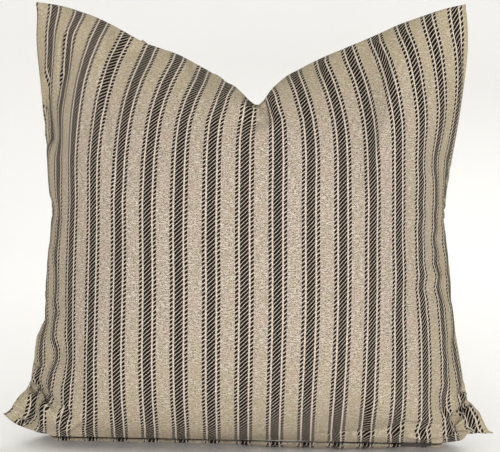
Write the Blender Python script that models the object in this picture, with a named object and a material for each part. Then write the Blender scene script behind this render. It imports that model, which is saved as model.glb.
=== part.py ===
"""Throw pillow with a removable ticking cover: two cover panels, a concealed zip in the
bottom seam with a sliding slider and a swinging pull, and a filled insert.

The pillow stands on its bottom edge. X runs across its width, its front faces -Y, +Z is up,
and z = 0 is the surface it rests on. All sizes are in metres."""

import math

import bmesh
import bpy
import numpy as np

# ---------------------------------------------------------------- driving dimensions
HEIGHT = 0.438  # tips of the upper corners above the floor
CHOP_DEPTH = 0.104  # how far the dent in the top edge falls below the corners
CHOP_X = 0.010  # where the dent's foot is
LEFT_TIP, RIGHT_TIP = -0.247, 0.246  # lower corner tips
LEFT_WAIST, RIGHT_WAIST = 0.199, 0.195  # half widths where the side seams pull in
LEFT_FLARE, RIGHT_FLARE = 0.014, 0.022  # how much wider the upper corners are
EAR_LEFT, EAR_RIGHT = 0.034, 0.029  # how far each lower corner sticks out of its side
BELLY_FRONT = 0.120  # bulge of the front panel from the parting surface
BELLY_BACK = 0.120  # bulge of the back panel
SEAM_Y, SEAM_Z = -0.065, 0.012  # the bottom seam's line, in front of the rest face
TIP_SHIFT = 0.025  # how far back the lower corner tips lie from that line
LEFT_LIFT = 0.008  # how much higher the left tip is

GAP = 0.0003  # between touching pieces
CLOTH = 0.0012  # cover fabric, with its slub and weave
ALLOWANCE = 0.010  # width of the turned-in seam allowance
ROOT = 0.0026  # depth of the seam's root inside the edge
EDGE_ROLL = 0.0065  # half thickness that seam and allowances give the edge
CASING = 0.0007  # insert casing fabric
CASING_INSET = 0.0180  # the insert's own seam, inside the cover's
THREAD_R = 0.00035
CENTRE = (-0.00050, -0.00471)  # middle of the width and depth, which the origin is put under

COLS = 16  # cells across a cover panel and an insert half

ZONE_U = (0.08427, 0.91573)  # part of the bottom seam that is straight and open for the zip
FLAT_V = 0.062  # the parting surface is level up to here, so that the zip lies level
SLOT = 0.0010  # half width of the slot between the panels there
ZIP_ROOM = 0.0030  # half width between the allowances there
TAPE = (0.0022, 0.0027)  # each tape's two faces, from the parting plane
TAPE_DEPTH = (0.0020, 0.0115)  # each tape's two edges, from the seam line inwards
TAPE_X = (-0.1855, 0.1835)
COIL_X = (-0.181, 0.179)
COIL_AT = 0.0013  # centre of each coil row from the parting plane
COIL_R = 0.0006
COIL_DEPTH = 0.0026
COIL_PITCH = 0.0180
STOP_LENGTH = 0.0030
SLIDER_X = 0.1725  # slider's centre with the zip closed
PIVOT_OUT = 0.00265  # pull's axis in front of the seam line
TAB_LENGTH = 0.024

COLORS = {
    "ticking": (0.55, 0.47, 0.37, 1),
    "casing": (0.88, 0.87, 0.84, 1),
    "fibre": (0.95, 0.94, 0.92, 1),
    "thread": (0.62, 0.55, 0.43, 1),
    "tape": (0.16, 0.14, 0.12, 1),
    "coil": (0.12, 0.11, 0.10, 1),
    "metal": (0.30, 0.26, 0.20, 1),
}


# ---------------------------------------------------------------- shape of the pillow
def lerp(a, b, t):
    return a + (b - a) * t


def smooth(t):
    t = min(max(t, 0.0), 1.0)
    return t * t * (3 - 2 * t)


def crown(t, power, root):
    """0 at both ends, 1 in the middle."""
    return max(0.0, 1 - abs(2 * t - 1) ** power) ** root


def spread(n):
    """n cells, narrow at the edges."""
    return [0.5 - 0.5 * math.cos(math.pi * i / n) for i in range(n + 1)]


def side_x(u, v):
    flare = abs(2 * v - 1) ** 1.8
    left = -LEFT_WAIST - LEFT_FLARE * flare - EAR_LEFT * math.exp(-v / 0.10)
    right = RIGHT_WAIST + RIGHT_FLARE * flare + EAR_RIGHT * math.exp(-v / 0.09)
    return lerp(left, right, u)


def top_z(u):
    x = side_x(u, 1.0)
    left, right = side_x(0, 1.0), side_x(1, 1.0)
    t = (CHOP_X - x) / (CHOP_X - left) if x < CHOP_X else (x - CHOP_X) / (right - CHOP_X)
    return HEIGHT - CHOP_DEPTH * (0.57 * (1 - t) + 0.43 * (1 - t) ** 4)


def tip(u):
    """0 along the straight bottom seam, 1 at each corner tip."""
    return smooth((ZONE_U[0] - u) / ZONE_U[0]) + smooth((u - ZONE_U[1]) / (1 - ZONE_U[1]))


def foot(u):
    y = SEAM_Y + TIP_SHIFT * tip(u)
    z = SEAM_Z + LEFT_LIFT * smooth((ZONE_U[0] - u) / ZONE_U[0])
    return y, z


def middle(u, v):
    """Point on the parting surface, and its unit normal towards the front."""
    y0, z0 = foot(u)
    rise = top_z(u) - z0
    up = max(0.0, v - FLAT_V) / (1 - FLAT_V)
    point = np.array((side_x(u, v), y0 * (1 - v) ** 4, z0 + rise * up**1.45))
    dy, dz = -4 * y0 * (1 - v) ** 3, 1.45 * rise * up**0.45
    size = math.hypot(dy, dz)
    return point, np.array((0.0, -dz / size, dy / size))


def zone(u):
    """1 where the zip is, 0 where the panels are sewn together."""
    return 1.0 if ZONE_U[0] - 1e-3 <= u <= ZONE_U[1] + 1e-3 else 0.0


def bulge(u, v, front):
    """Distance of a panel from the parting surface, and its direction."""
    across = crown(u, 2.4, 0.9)
    if front:
        out = BELLY_FRONT * across * crown(v, 2.2, 1.0)
        turn = math.radians(60) * (1 - v) ** 8
        way = np.array((0.0, -math.cos(turn), math.sin(turn)))
    else:
        out = BELLY_BACK * across * crown(v**0.9, 2.2, 0.75)
        turn = math.radians(75) * (1 - v) ** 5
        way = np.array((0.0, math.cos(turn), -math.sin(turn)))
    near = min(430 * min(u, 1 - u), 300 * v if v < 0.5 else 600 * (1 - v))
    return out + EDGE_ROLL * (1 - math.exp(-near / 1.5)), way


def inset(u, v, depth):
    """The parameters moved in from all four edges, by depth at the edge and less inside."""
    bottom = depth / (4 * abs(SEAM_Y))
    top = depth / 0.600
    return lerp(depth / 0.480, 1 - depth / 0.440, u), lerp(bottom, 1 - top, v)


def skin(u, v, front, depth, stand, under, lift):
    """Point of a surface that is depth inside the edge, stand off the parting surface at the
    edge itself, and under the cover's outer face elsewhere. Without under it doesn't bulge."""
    out = 0.0 if under is None else bulge(u, v, front)[0]
    stand = stand * math.exp(-out / 0.006)
    if under:
        out -= under * (1 - math.exp(-out / (1.3 * under)))
    a, b = inset(u, v, depth)
    point, normal = middle(a, b)[0], middle(u, v)[1]
    way = bulge(a, b, front)[1]
    side = 1 if front else -1
    point = point + normal * stand * side + way * out
    point[2] = max(point[2], lift)
    return point


def edge_of(n):
    """Grid places once round the edge, starting at the lower left corner."""
    return (
        [(i, 0) for i in range(n)]
        + [(n, j) for j in range(n)]
        + [(i, n) for i in range(n, 0, -1)]
        + [(0, j) for j in range(n, 0, -1)]
    )


# ---------------------------------------------------------------- making objects
def clear():
    for obj in list(bpy.data.objects):
        bpy.data.objects.remove(obj, do_unlink=True)
    for group in list(bpy.data.collections):
        bpy.data.collections.remove(group)


def material(name, finish):
    mat = bpy.data.materials.new(name)
    mat.use_nodes = True
    shader = mat.node_tree.nodes["Principled BSDF"]
    shader.inputs["Base Color"].default_value = COLORS[finish]
    shader.inputs["Roughness"].default_value = 0.4 if finish in ("metal", "coil") else 0.9
    shader.inputs["Metallic"].default_value = 1.0 if finish == "metal" else 0.0
    mat.diffuse_color = COLORS[finish]
    return mat


def add(name, bm, finish, round_faces=True):
    bmesh.ops.recalc_face_normals(bm, faces=bm.faces)
    if bm.calc_volume(signed=True) < 0:
        bmesh.ops.reverse_faces(bm, faces=bm.faces)
    mesh = bpy.data.meshes.new(name)
    bm.to_mesh(mesh)
    bm.free()
    mesh.materials.append(material(name, finish))
    if round_faces:
        mesh.polygons.foreach_set("use_smooth", [True] * len(mesh.polygons))
    obj = bpy.data.objects.new(name, mesh)
    PILLOW.objects.link(obj)
    return obj


def grid(bm, n, place):
    steps = spread(n)
    return [[bm.verts.new(place(u, v)) for v in steps] for u in steps]


def fill_grid(bm, verts):
    n = len(verts) - 1
    for i in range(n):
        for j in range(n):
            bm.faces.new(
                (verts[i][j], verts[i + 1][j], verts[i + 1][j + 1], verts[i][j + 1])
            )


def bridge(bm, one, two):
    n = len(one)
    for k in range(n):
        bm.faces.new((one[k], one[(k + 1) % n], two[(k + 1) % n], two[k]))


def panel(name, front):
    """One cover panel: outer face, inner face, and the allowance turned in along its edge."""
    bm = bmesh.new()

    def slot(u):
        return lerp(GAP / 2, SLOT, zone(u))

    def room(u):
        return lerp(GAP / 2, ZIP_ROOM, zone(u))

    steps = spread(COLS)
    around = edge_of(COLS)

    def ring(depth, stand):
        made = []
        for i, j in around:
            u, v = steps[i], steps[j]
            wide = stand(u) if j == 0 else stand(0.0)
            made.append(bm.verts.new(skin(u, v, front, depth, wide, None, 0.0)))
        return made

    def outer_at(u, v):
        return skin(u, v, front, 0.0, slot(u) if v == 0 else GAP / 2, 0.0, 0.0)

    def inner_at(u, v):
        wide = (room(u) if v == 0 else GAP / 2) + CLOTH
        return skin(u, v, front, ROOT, wide, CLOTH, CLOTH)

    outer = grid(bm, COLS, outer_at)
    inner = grid(bm, COLS, inner_at)
    fill_grid(bm, outer)
    fill_grid(bm, inner)
    rings = [
        [outer[i][j] for i, j in around],
        ring(ROOT * 0.45, slot),
        ring(ROOT * 0.60, room),
        ring(ALLOWANCE, room),
        ring(ALLOWANCE, lambda u: room(u) + CLOTH * 0.8),
        [inner[i][j] for i, j in around],
    ]
    for one, two in zip(rings, rings[1:]):
        bridge(bm, one, two)
    return add(name, bm, "ticking")


def casing(name, front):
    """One half of the insert's casing, a thin shell with its edge at the insert's seam."""
    bm = bmesh.new()

    def outer_at(u, v):
        return skin(u, v, front, CASING_INSET, GAP / 2, CLOTH + 0.0022, CLOTH + 0.0028)

    def inner_at(u, v):
        return skin(
            u, v, front, CASING_INSET + 0.002, GAP / 2,
            CLOTH + 0.0022 + CASING, CLOTH + 0.0028 + CASING,
        )

    outer = grid(bm, COLS, outer_at)
    inner = grid(bm, COLS, inner_at)
    fill_grid(bm, outer)
    fill_grid(bm, inner)
    around = edge_of(COLS)
    bridge(bm, [outer[i][j] for i, j in around], [inner[i][j] for i, j in around])
    return add(name, bm, "casing")


def filling(name):
    """The filling: the whole space inside the casing."""
    bm = bmesh.new()
    under = CLOTH + 0.0022 + CASING + 0.0030
    depth = CASING_INSET + 0.0050
    floor = CLOTH + 0.0028 + CASING + 0.0012
    front = grid(bm, COLS, lambda u, v: skin(u, v, True, depth, 0.0, under, floor))
    back = grid(bm, COLS, lambda u, v: skin(u, v, False, depth, 0.0, under, floor))
    fill_grid(bm, front)
    fill_grid(bm, back)
    around = edge_of(COLS)
    bridge(bm, [front[i][j] for i, j in around], [back[i][j] for i, j in around])
    bmesh.ops.remove_doubles(bm, verts=bm.verts, dist=1e-6)
    return add(name, bm, "fibre")


def cord(name, points, radius, finish, closed=False, sides=4):
    """A round cord along points, as a bevelled curve made into a mesh."""
    curve = bpy.data.curves.new(name, "CURVE")
    curve.dimensions = "3D"
    curve.bevel_depth = radius
    curve.bevel_resolution = 0 if sides == 4 else 1
    curve.use_fill_caps = not closed
    line = curve.splines.new("POLY")
    line.points.add(len(points) - 1)
    for k, p in enumerate(points):
        line.points[k].co = (*p, 1)
    line.use_cyclic_u = closed
    guide = bpy.data.objects.new(name + "_guide", curve)
    PILLOW.objects.link(guide)
    made = bpy.data.meshes.new_from_object(
        guide.evaluated_get(bpy.context.evaluated_depsgraph_get())
    )
    bpy.data.objects.remove(guide, do_unlink=True)
    bpy.data.curves.remove(curve)
    bm = bmesh.new()
    bm.from_mesh(made)
    bpy.data.meshes.remove(made)
    bmesh.ops.remove_doubles(bm, verts=bm.verts, dist=1e-6)
    return add(name, bm, finish)


def seam_path(n, depth, stand, front, skip_zip):
    """Points round the edge, depth inside it. With skip_zip it starts and ends beside the zip."""
    steps = spread(n)
    around = edge_of(n)
    if skip_zip:
        # start just right of the zip, run round and end just left of it
        first = next(k for k, (i, j) in enumerate(around) if j == 0 and steps[i] > ZONE_U[1] + 0.01)
        last = max(k for k, (i, j) in enumerate(around) if j == 0 and steps[i] < ZONE_U[0] - 0.01)
        around = around[first:] + around[: last + 1]
    return [skin(steps[i], steps[j], front, depth, stand, None, 0.0) for i, j in around]


def block(bm, low, high):
    made = bmesh.ops.create_cube(bm, size=1.0)["verts"]
    for v in made:
        v.co = [lerp(low[k], high[k], v.co[k] + 0.5) for k in range(3)]
    return made


def one_block(name, low, high, finish, bevel=0.0):
    bm = bmesh.new()
    block(bm, low, high)
    if bevel:
        bmesh.ops.bevel(
            bm, geom=list(bm.edges), offset=bevel, segments=1, affect="EDGES"
        )
    return add(name, bm, finish, False)


def joined(name, blocks, finish):
    """Overlapping blocks made into one body by Boolean union."""
    objs = []
    for k, (low, high) in enumerate(blocks):
        bm = bmesh.new()
        block(bm, low, high)
        bmesh.ops.recalc_face_normals(bm, faces=bm.faces)
        mesh = bpy.data.meshes.new(f"{name}_{k}")
        bm.to_mesh(mesh)
        bm.free()
        obj = bpy.data.objects.new(f"{name}_{k}", mesh)
        PILLOW.objects.link(obj)
        objs.append(obj)
    for other in objs[1:]:
        mod = objs[0].modifiers.new("join", "BOOLEAN")
        mod.operation, mod.solver, mod.object = "UNION", "EXACT", other
    bpy.context.view_layer.update()
    mesh = bpy.data.meshes.new_from_object(
        objs[0].evaluated_get(bpy.context.evaluated_depsgraph_get())
    )
    for obj in objs:
        bpy.data.objects.remove(obj, do_unlink=True)
    bm = bmesh.new()
    bm.from_mesh(mesh)
    bpy.data.meshes.remove(mesh)
    bmesh.ops.remove_doubles(bm, verts=bm.verts, dist=1e-6)
    return add(name, bm, finish, False)


# ---------------------------------------------------------------- the zip
def zip_box(x, out, across):
    """Box corners from ranges along the zip, out of the seam (towards -Y) and across it (Z)."""
    return (
        (x[0], SEAM_Y - out[1], SEAM_Z + across[0]),
        (x[1], SEAM_Y - out[0], SEAM_Z + across[1]),
    )


def coil_row(name, side):
    """A coil row: a bar swelling at every few turns of the coil."""
    bm = bmesh.new()
    count = int(round((COIL_X[1] - COIL_X[0]) / COIL_PITCH)) * 2
    rings = []
    for k in range(count + 1):
        x = lerp(*COIL_X, k / count)
        r = COIL_R * (1.0 if k % 2 else 0.8)
        rings.append([
            bm.verts.new((
                x,
                SEAM_Y + COIL_DEPTH + r * math.cos(a),
                SEAM_Z + side * COIL_AT + r * math.sin(a),
            ))
            for a in (math.pi / 4 + math.pi / 2 * q for q in range(4))
        ])
    for one, two in zip(rings, rings[1:]):
        bridge(bm, one, two)
    bm.faces.new(rings[0])
    bm.faces.new(rings[-1])
    return add(name, bm, "coil")


def make_zip():
    for word, side in (("front", 1), ("back", -1)):
        near, far = sorted((side * TAPE[0], side * TAPE[1]))
        one_block(
            f"zip_tape_{word}",
            *zip_box(TAPE_X, (-TAPE_DEPTH[1], -TAPE_DEPTH[0]), (near, far)),
            "tape",
        )
        coil_row(f"zip_coil_{word}", side)
        stop_low, stop_high = sorted((side * (COIL_AT - 0.0006), side * (COIL_AT + 0.0006)))
        one_block(
            f"zip_top_stop_{word}",
            *zip_box(
                (COIL_X[1] + GAP, COIL_X[1] + GAP + STOP_LENGTH),
                (-0.0033, -0.0019),
                (stop_low, stop_high),
            ),
            "metal", 0.0002,
        )
        stand = side * (ZIP_ROOM + CLOTH * 0.8 + GAP + THREAD_R)
        points = [
            (lerp(TAPE_X[0] + 0.004, TAPE_X[1] - 0.004, k / 24), SEAM_Y + 0.0075, SEAM_Z + stand)
            for k in range(25)
        ]
        cord(f"zip_stitch_{word}", points, THREAD_R * 0.9, "thread")
    one_block(
        "zip_bottom_stop",
        *zip_box(
            (COIL_X[0] - GAP - STOP_LENGTH, COIL_X[0] - GAP),
            (-0.0034, -0.0018),
            (-0.0019, 0.0019),
        ),
        "metal", 0.0003,
    )


def make_slider():
    """Slider: a base plate behind the coils, a neck between them, an outer plate and a bail."""
    x = SLIDER_X

    def at(along, out, across):
        return zip_box((x + along[0], x + along[1]), out, across)

    joined(
        "zip_slider",
        [
            at((-0.0045, 0.0045), (-0.0043, -0.0035), (-0.0018, 0.0018)),
            at((-0.0020, 0.0025), (-0.0040, 0.0015), (-0.0003, 0.0003)),
            at((-0.0040, 0.0040), (0.0012, 0.0020), (-0.0015, 0.0015)),
            at((-0.0026, -0.0016), (0.0018, 0.0039), (-0.0004, 0.0004)),
            at((0.0016, 0.0026), (0.0018, 0.0039), (-0.0004, 0.0004)),
            at((-0.0026, 0.0026), (0.0033, 0.0039), (-0.0004, 0.0004)),
        ],
        "metal",
    )


def make_pull():
    """Pull tab: a cross bar through the bail, two arms and a tab. Its origin is on its axis,
    which runs across the zip."""
    blocks = [
        ((-0.00035, -0.00035, -0.0015), (0.00035, 0.00035, 0.0015)),
        ((-0.0042, -0.00035, 0.0008), (0.00035, 0.00035, 0.0015)),
        ((-0.0042, -0.00035, -0.0015), (0.00035, 0.00035, -0.0008)),
        ((-0.0075, -0.00035, -0.0015), (-0.0040, 0.00035, 0.0015)),
        ((-TAB_LENGTH, -0.00035, -0.0019), (-0.0060, 0.00035, 0.0019)),
    ]
    pull = joined("zip_pull", blocks, "metal")
    pull.location = (SLIDER_X, SEAM_Y - PIVOT_OUT, SEAM_Z)


# ---------------------------------------------------------------- the pillow
clear()
PILLOW = bpy.data.collections.new("throw_pillow")
bpy.context.scene.collection.children.link(PILLOW)

panel("cover_front_panel", True)
panel("cover_back_panel", False)
stitch_stand = GAP / 2 + CLOTH * 0.8 + GAP + THREAD_R + 0.0008  # clear of the corners, where the edge twists
cord("cover_needle_thread", seam_path(COLS, 0.0072, stitch_stand, True, True), THREAD_R, "thread")
cord("cover_bobbin_thread", seam_path(COLS, 0.0072, stitch_stand, False, True), THREAD_R, "thread")
cord("cover_overlock_thread", seam_path(COLS, ALLOWANCE + GAP + THREAD_R, 0.0, True, True), THREAD_R, "thread")

make_zip()
make_slider()
make_pull()

casing("insert_casing_front", True)
casing("insert_casing_back", False)
filling("insert_filling")
cord("insert_closing_thread", seam_path(COLS, CASING_INSET - 0.0016, 0.0, True, False), THREAD_R * 0.8, "thread", closed=True)

for piece in PILLOW.objects:
    piece.location.x -= CENTRE[0]
    piece.location.y -= CENTRE[1]
bpy.context.view_layer.update()
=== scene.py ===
import math
import bpy
import numpy as np
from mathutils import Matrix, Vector


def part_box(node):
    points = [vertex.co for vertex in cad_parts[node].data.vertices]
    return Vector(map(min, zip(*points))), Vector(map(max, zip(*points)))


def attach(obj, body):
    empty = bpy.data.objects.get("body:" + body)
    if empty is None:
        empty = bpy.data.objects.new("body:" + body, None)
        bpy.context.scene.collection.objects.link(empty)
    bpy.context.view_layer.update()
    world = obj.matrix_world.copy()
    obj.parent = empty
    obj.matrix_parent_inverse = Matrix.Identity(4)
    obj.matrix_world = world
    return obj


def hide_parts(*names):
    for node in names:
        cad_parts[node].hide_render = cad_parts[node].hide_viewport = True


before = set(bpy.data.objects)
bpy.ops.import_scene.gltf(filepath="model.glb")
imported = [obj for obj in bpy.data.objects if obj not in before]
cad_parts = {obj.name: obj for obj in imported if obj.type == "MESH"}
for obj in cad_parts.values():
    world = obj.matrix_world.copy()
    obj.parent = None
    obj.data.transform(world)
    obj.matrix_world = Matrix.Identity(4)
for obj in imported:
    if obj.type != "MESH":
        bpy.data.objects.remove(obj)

for name in ("Cube", "Light", "Camera"):
    if name in bpy.data.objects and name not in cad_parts:
        bpy.data.objects.remove(bpy.data.objects[name], do_unlink=True)

scene = bpy.context.scene
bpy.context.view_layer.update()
zip_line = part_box("zip_slider")
ZIP_Z = 0.5 * (zip_line[0][2] + zip_line[1][2])
ZIP_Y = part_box("zip_coil_front")[0][1] - 0.0022
ZIP_X = (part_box("zip_tape_front")[0][0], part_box("zip_tape_front")[1][0])

# ------------------------------------------------------------------ camera
FOCAL, CX, CY = 1150.0, 250.0, 226.0            # in units of a 500 wide picture
DIST, ELEV, AIM = 1.15, math.radians(5.0), 0.2145
CE, SE = math.cos(ELEV), math.sin(ELEV)
YAW = math.radians(4.0)
CY_, SY_ = math.cos(YAW), math.sin(YAW)

cam_data = bpy.data.cameras.new("camera")
cam = bpy.data.objects.new("camera", cam_data)
scene.collection.objects.link(cam)
cam_data.sensor_width = 36.0
cam_data.lens = 36.0 * FOCAL / 500.0
cam_data.clip_start, cam_data.clip_end = 0.01, 50
cam.location = (DIST * CE * SY_, -DIST * CE * CY_, AIM + DIST * SE)
cam.rotation_euler = (math.radians(90) - ELEV, 0, YAW)
scene.camera = cam


def project(P):
    x = P[..., 0] * CY_ + P[..., 1] * SY_
    y = P[..., 1] * CY_ - P[..., 0] * SY_
    z = P[..., 2] - AIM
    d = DIST + y * CE - z * SE
    return CX + FOCAL * x / d, CY - FOCAL * (y * SE + z * CE) / d, d


def unproject(px, py, y):
    """the point at depth y in the object's frame that shows at (px, py)"""
    a, b = (px - CX) / FOCAL, (CY - py) / FOCAL
    x = 0.0 * a
    for _ in range(8):
        yy = y * CY_ - x * SY_
        z = (b * (DIST + yy * CE) - yy * SE) / (CE + b * SE)
        d = DIST + yy * CE - z * SE
        x = (a * d - y * SY_) / CY_
    return x, z + AIM

PITCH = 0.508 / 17.23
# ---------- where the seam runs, in the picture, against the fabric's own distance
TOP = [(0, 38, 1), (0.79, 54, 1), (1.79, 78, 5), (2.79, 104, 17), (3.79, 129, 28), (4.79, 156, 40), (5.79, 182, 51),
       (6.79, 206, 64), (7.79, 229, 80), (8.55, 248, 98), (9.05, 261, 106), (9.3, 267, 97), (9.79, 275, 85), (10.79, 296, 68), (11.79, 321, 54.5),
       (12.79, 348, 43.5), (13.79, 375, 32), (14.79, 402, 20), (15.79, 429, 8.5), (16.79, 455, 2), (17.23, 465, 1)]
BOTTOM = [(0, 3, 413), (0.5, 12, 424), (0.79, 19, 427), (1.79, 39, 431), (2.79, 63, 434), (3.79, 89.5, 435), (4.79, 119, 436), (5.79, 150, 437), (6.79, 181, 437),
          (7.79, 211.5, 437), (8.79, 243, 436), (9.79, 274, 435), (10.79, 305.5, 434), (11.79, 336, 434), (12.79, 366, 434),
          (13.79, 395.5, 434), (14.79, 423.5, 433), (15.79, 450, 432), (16.79, 477, 432), (17.23, 496, 433)]
LEFT = [(0, 3, 413), (0.055, 16, 398), (0.11, 30, 384), (0.17, 34, 362), (0.235, 37, 336), (0.3, 45, 308), (0.37, 46, 280), (0.45, 50, 248),
        (0.53, 51, 210), (0.63, 47, 168), (0.73, 44, 127), (0.85, 39, 75), (0.93, 36, 38), (1, 38, 1)]
RIGHT = [(0, 496, 433), (0.055, 480, 411), (0.11, 467, 398), (0.17, 464, 378), (0.235, 459, 350), (0.3, 453, 318), (0.37, 452, 280), (0.45, 449, 250),
         (0.53, 444, 215), (0.63, 449, 180), (0.73, 457, 138), (0.85, 465, 88), (0.93, 469, 45), (1, 465, 1)]

def smooth(t):
    t = np.clip(t, 0, 1)
    return t * t * (3 - 2 * t)

def seam_y(u):
    """the bottom seam's y"""
    tip = smooth((0.10 - u) / 0.10) + smooth((u - 0.90) / 0.10)
    return -0.062 + 0.030 * tip

def side_y(v):
    return -0.032 * (1 - v) ** 4

def curve(table, t, y):
    T = np.array(table, float)
    k = T[:, 0] / T[-1, 0]
    px, py = np.interp(t, k, T[:, 1]), np.interp(t, k, T[:, 2])
    x, z = unproject(px, py, y)
    return np.stack([x, y * np.ones_like(x), z], -1)

def seams(n):
    t = np.linspace(0, 1, n + 1)
    bottom = curve(BOTTOM, t, seam_y(t))
    top = curve(TOP, t, 0.0 * t)
    left = curve(LEFT, t, side_y(t))
    right = curve(RIGHT, t, side_y(t))
    bottom[:, 2] = np.maximum(bottom[:, 2], 0.010)
    def sm(c, k):
        c = c.copy()
        for _ in range(k):
            c[1:-1] = 0.5 * c[1:-1] + 0.25 * (c[:-2] + c[2:])
        return c
    k = max(1, int((n / 64) ** 2 * 2))
    bottom, top, left, right = (sm(c, k) for c in (bottom, top, left, right))
    return bottom, top, left, right

def coons(bottom, top, left, right):
    n = len(bottom) - 1
    u = np.linspace(0, 1, n + 1)[:, None, None]
    v = np.linspace(0, 1, n + 1)[None, :, None]
    P = (1 - v) * bottom[:, None] + v * top[:, None] + (1 - u) * left[None] + u * right[None]
    P -= (1 - u) * (1 - v) * bottom[0] + u * (1 - v) * bottom[-1] + (1 - u) * v * top[0] + u * v * top[-1]
    return P

def crown(t, p, q):
    return np.maximum(0, 1 - np.abs(2 * t - 1) ** p) ** q

def normals(X):
    """area-weighted outward normals at the vertices, for both panels; sum of quad cross products"""
    n = X.shape[1] - 1
    d1 = X[:, 1:, 1:] - X[:, :-1, :-1]
    d2 = X[:, :-1, 1:] - X[:, 1:, :-1]
    c = np.cross(d1, d2) * 0.5          # front: +? sign fixed below
    c[1] *= -1
    N = np.zeros_like(X)
    N[:, :-1, :-1] += c; N[:, 1:, :-1] += c; N[:, :-1, 1:] += c; N[:, 1:, 1:] += c
    N *= 0.25
    # weld
    for sl in ((0, slice(None)), (-1, slice(None)), (slice(1, -1), 0), (slice(1, -1), -1)):
        s = N[0][sl] + N[1][sl]
        N[0][sl] = s; N[1][sl] = s
    return N

def volume(X):
    c = np.zeros(())
    a, b, d, e = X[:, :-1, :-1], X[:, 1:, :-1], X[:, 1:, 1:], X[:, :-1, 1:]
    m = (a + b + d + e) / 4
    cr = np.cross(d - a, e - b) * 0.5
    cr[1] *= -1
    return (m * cr).sum() / 3

def weld(X):
    for sl in ((0, slice(None)), (-1, slice(None)), (slice(1, -1), 0), (slice(1, -1), -1)):
        s = 0.5 * (X[0][sl] + X[1][sl])
        X[0][sl] = s; X[1][sl] = s

def refine(X):
    n = X.shape[1] - 1
    Y = np.zeros((2, 2 * n + 1, 2 * n + 1, 3))
    def cub(A, axis):
        A = np.moveaxis(A, axis, 0)
        m = len(A)
        out = np.zeros((2 * m - 1,) + A.shape[1:])
        out[::2] = A
        ext = np.concatenate([2 * A[:1] - A[1:2], A, 2 * A[-1:] - A[-2:-1]])
        out[1::2] = (-ext[:-3] + 9 * ext[1:-2] + 9 * ext[2:-1] - ext[3:]) / 16
        return np.moveaxis(out, 0, axis)
    return cub(cub(X, 1), 2)

nan = np.nan
A_ = [(0,56.5),(20,53.5),(40,51.5),(60,50.4),(80,48.5),(100,48.6),(120,50.5),(140,52.5),(160,nan),(261,nan),(262,46),(320,45),(340,43),(360,41),(380,38),(400,36),(420,37)]
Q_ = [(0,453),(20,456),(40,459),(60,461),(80,461),(100,459.5),(120,456),(140,452),(160,447.5),(200,444),(240,446),(280,450),(320,453),(340,454),(380,459),(430,470)]
ROWS = [0, 20, 40, 60, 80, 100, 120, 140, 160, 200, 240, 280, 320, 360, 400, 430]
GUIDE = [  # B C D E F G H I J K L M N O P
 [79, 106, nan, nan, nan, nan, nan, nan, nan, nan, nan, nan, nan, 401.5, 427],
 [74.7, 104.6, 133, nan, nan, nan, nan, nan, nan, nan, nan, nan, 372.5, 403.7, 428.3],
 [67.8, 94, 124, 153.1, 184, nan, nan, nan, nan, nan, nan, 345.5, 374.1, 407.1, 433.4],
 [66.2, 86, 113.4, 144.7, 180, 207, nan, nan, nan, nan, 318.7, 351.8, 384.2, 413.7, 438.1],
 [64, 80, 106.6, 135.7, 167.3, 200.5, 230, nan, nan, nan, 327.8, 359.9, 390.3, 417.9, 440.6],
 [60.4, 76.7, 101.1, 129.4, 158.9, 189.9, 223, 249.7, 270.2, 303.4, 334.9, 365.3, 394.7, 420.9, 441.9],
 [58.1, 74.2, 97.4, 124.6, 153.7, 183.7, 214.1, 248.1, 277.3, 308.2, 339.6, 369.4, 397.9, 422.4, 441.7],
 [58.7, 72.7, 94.7, 121.6, 151.2, 180.6, 212.1, 244.9, 278.1, 310.5, 342, 371.5, 399.1, 421.8, 438.5],
 [58.2, 71.7, 92.9, 119.9, 148.8, 179.3, 211.4, 244.6, 278.3, 311.7, 342.7, 372.5, 398.9, 421.2, 435.2],
 [58.3, 72.3, 92.8, 117.7, 146.8, 178.3, 210.9, 244.4, 277.5, 310.9, 343, 373.4, 399, 420.8, 436.8],
 [56.1, 70.8, 92.4, 118.3, 147.2, 177.8, 210.5, 244.1, 277.9, 310.7, 343.1, 372.8, 398.9, 420.9, 433.7],
 [55.1, 69.6, 91.5, 117.9, 147.7, 178.7, 210.9, 244.6, 277.7, 311, 343.1, 372.7, 400.3, 423, 438.3],
 [54.4, 69.3, 90.7, 116.6, 147.6, 178.4, 210.8, 244.2, 277.6, 310.6, 342.6, 372.4, 398.5, 424.6, 443],
 [55.4, 70.2, 89.4, 115.9, 146.5, 178.1, 210.7, 243.8, 276.4, 309.3, 341.3, 371, 399.5, 425.9, 445.8],
 [47, 66.2, 90, 116.6, 147.5, 178.7, 210.8, 243.2, 275.3, 307, 338.8, 369.3, 398.7, 425.9, 443.2],
 [39, 62.7, 89.4, 118.9, 149.9, 180.9, 211.5, 243.3, 274.3, 305.7, 336.1, 366.1, 395.5, 423.7, 450.3]]
G = np.array(GUIDE)
R0 = np.array(ROWS, float)
FINE = np.arange(0, 452, 4.0)
GF = np.full((len(FINE), 17), nan)
for k in range(15):
    ok = ~np.isnan(G[:, k])
    GF[:, k + 1] = np.interp(FINE, R0[ok], G[ok, k], left=nan, right=G[ok, k][-1])
a_, q_ = np.array(A_), np.array(Q_)
GF[:, 0] = np.interp(FINE, a_[:, 0], a_[:, 1])
GF[:, 16] = np.interp(FINE, q_[:, 0], q_[:, 1])
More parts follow.
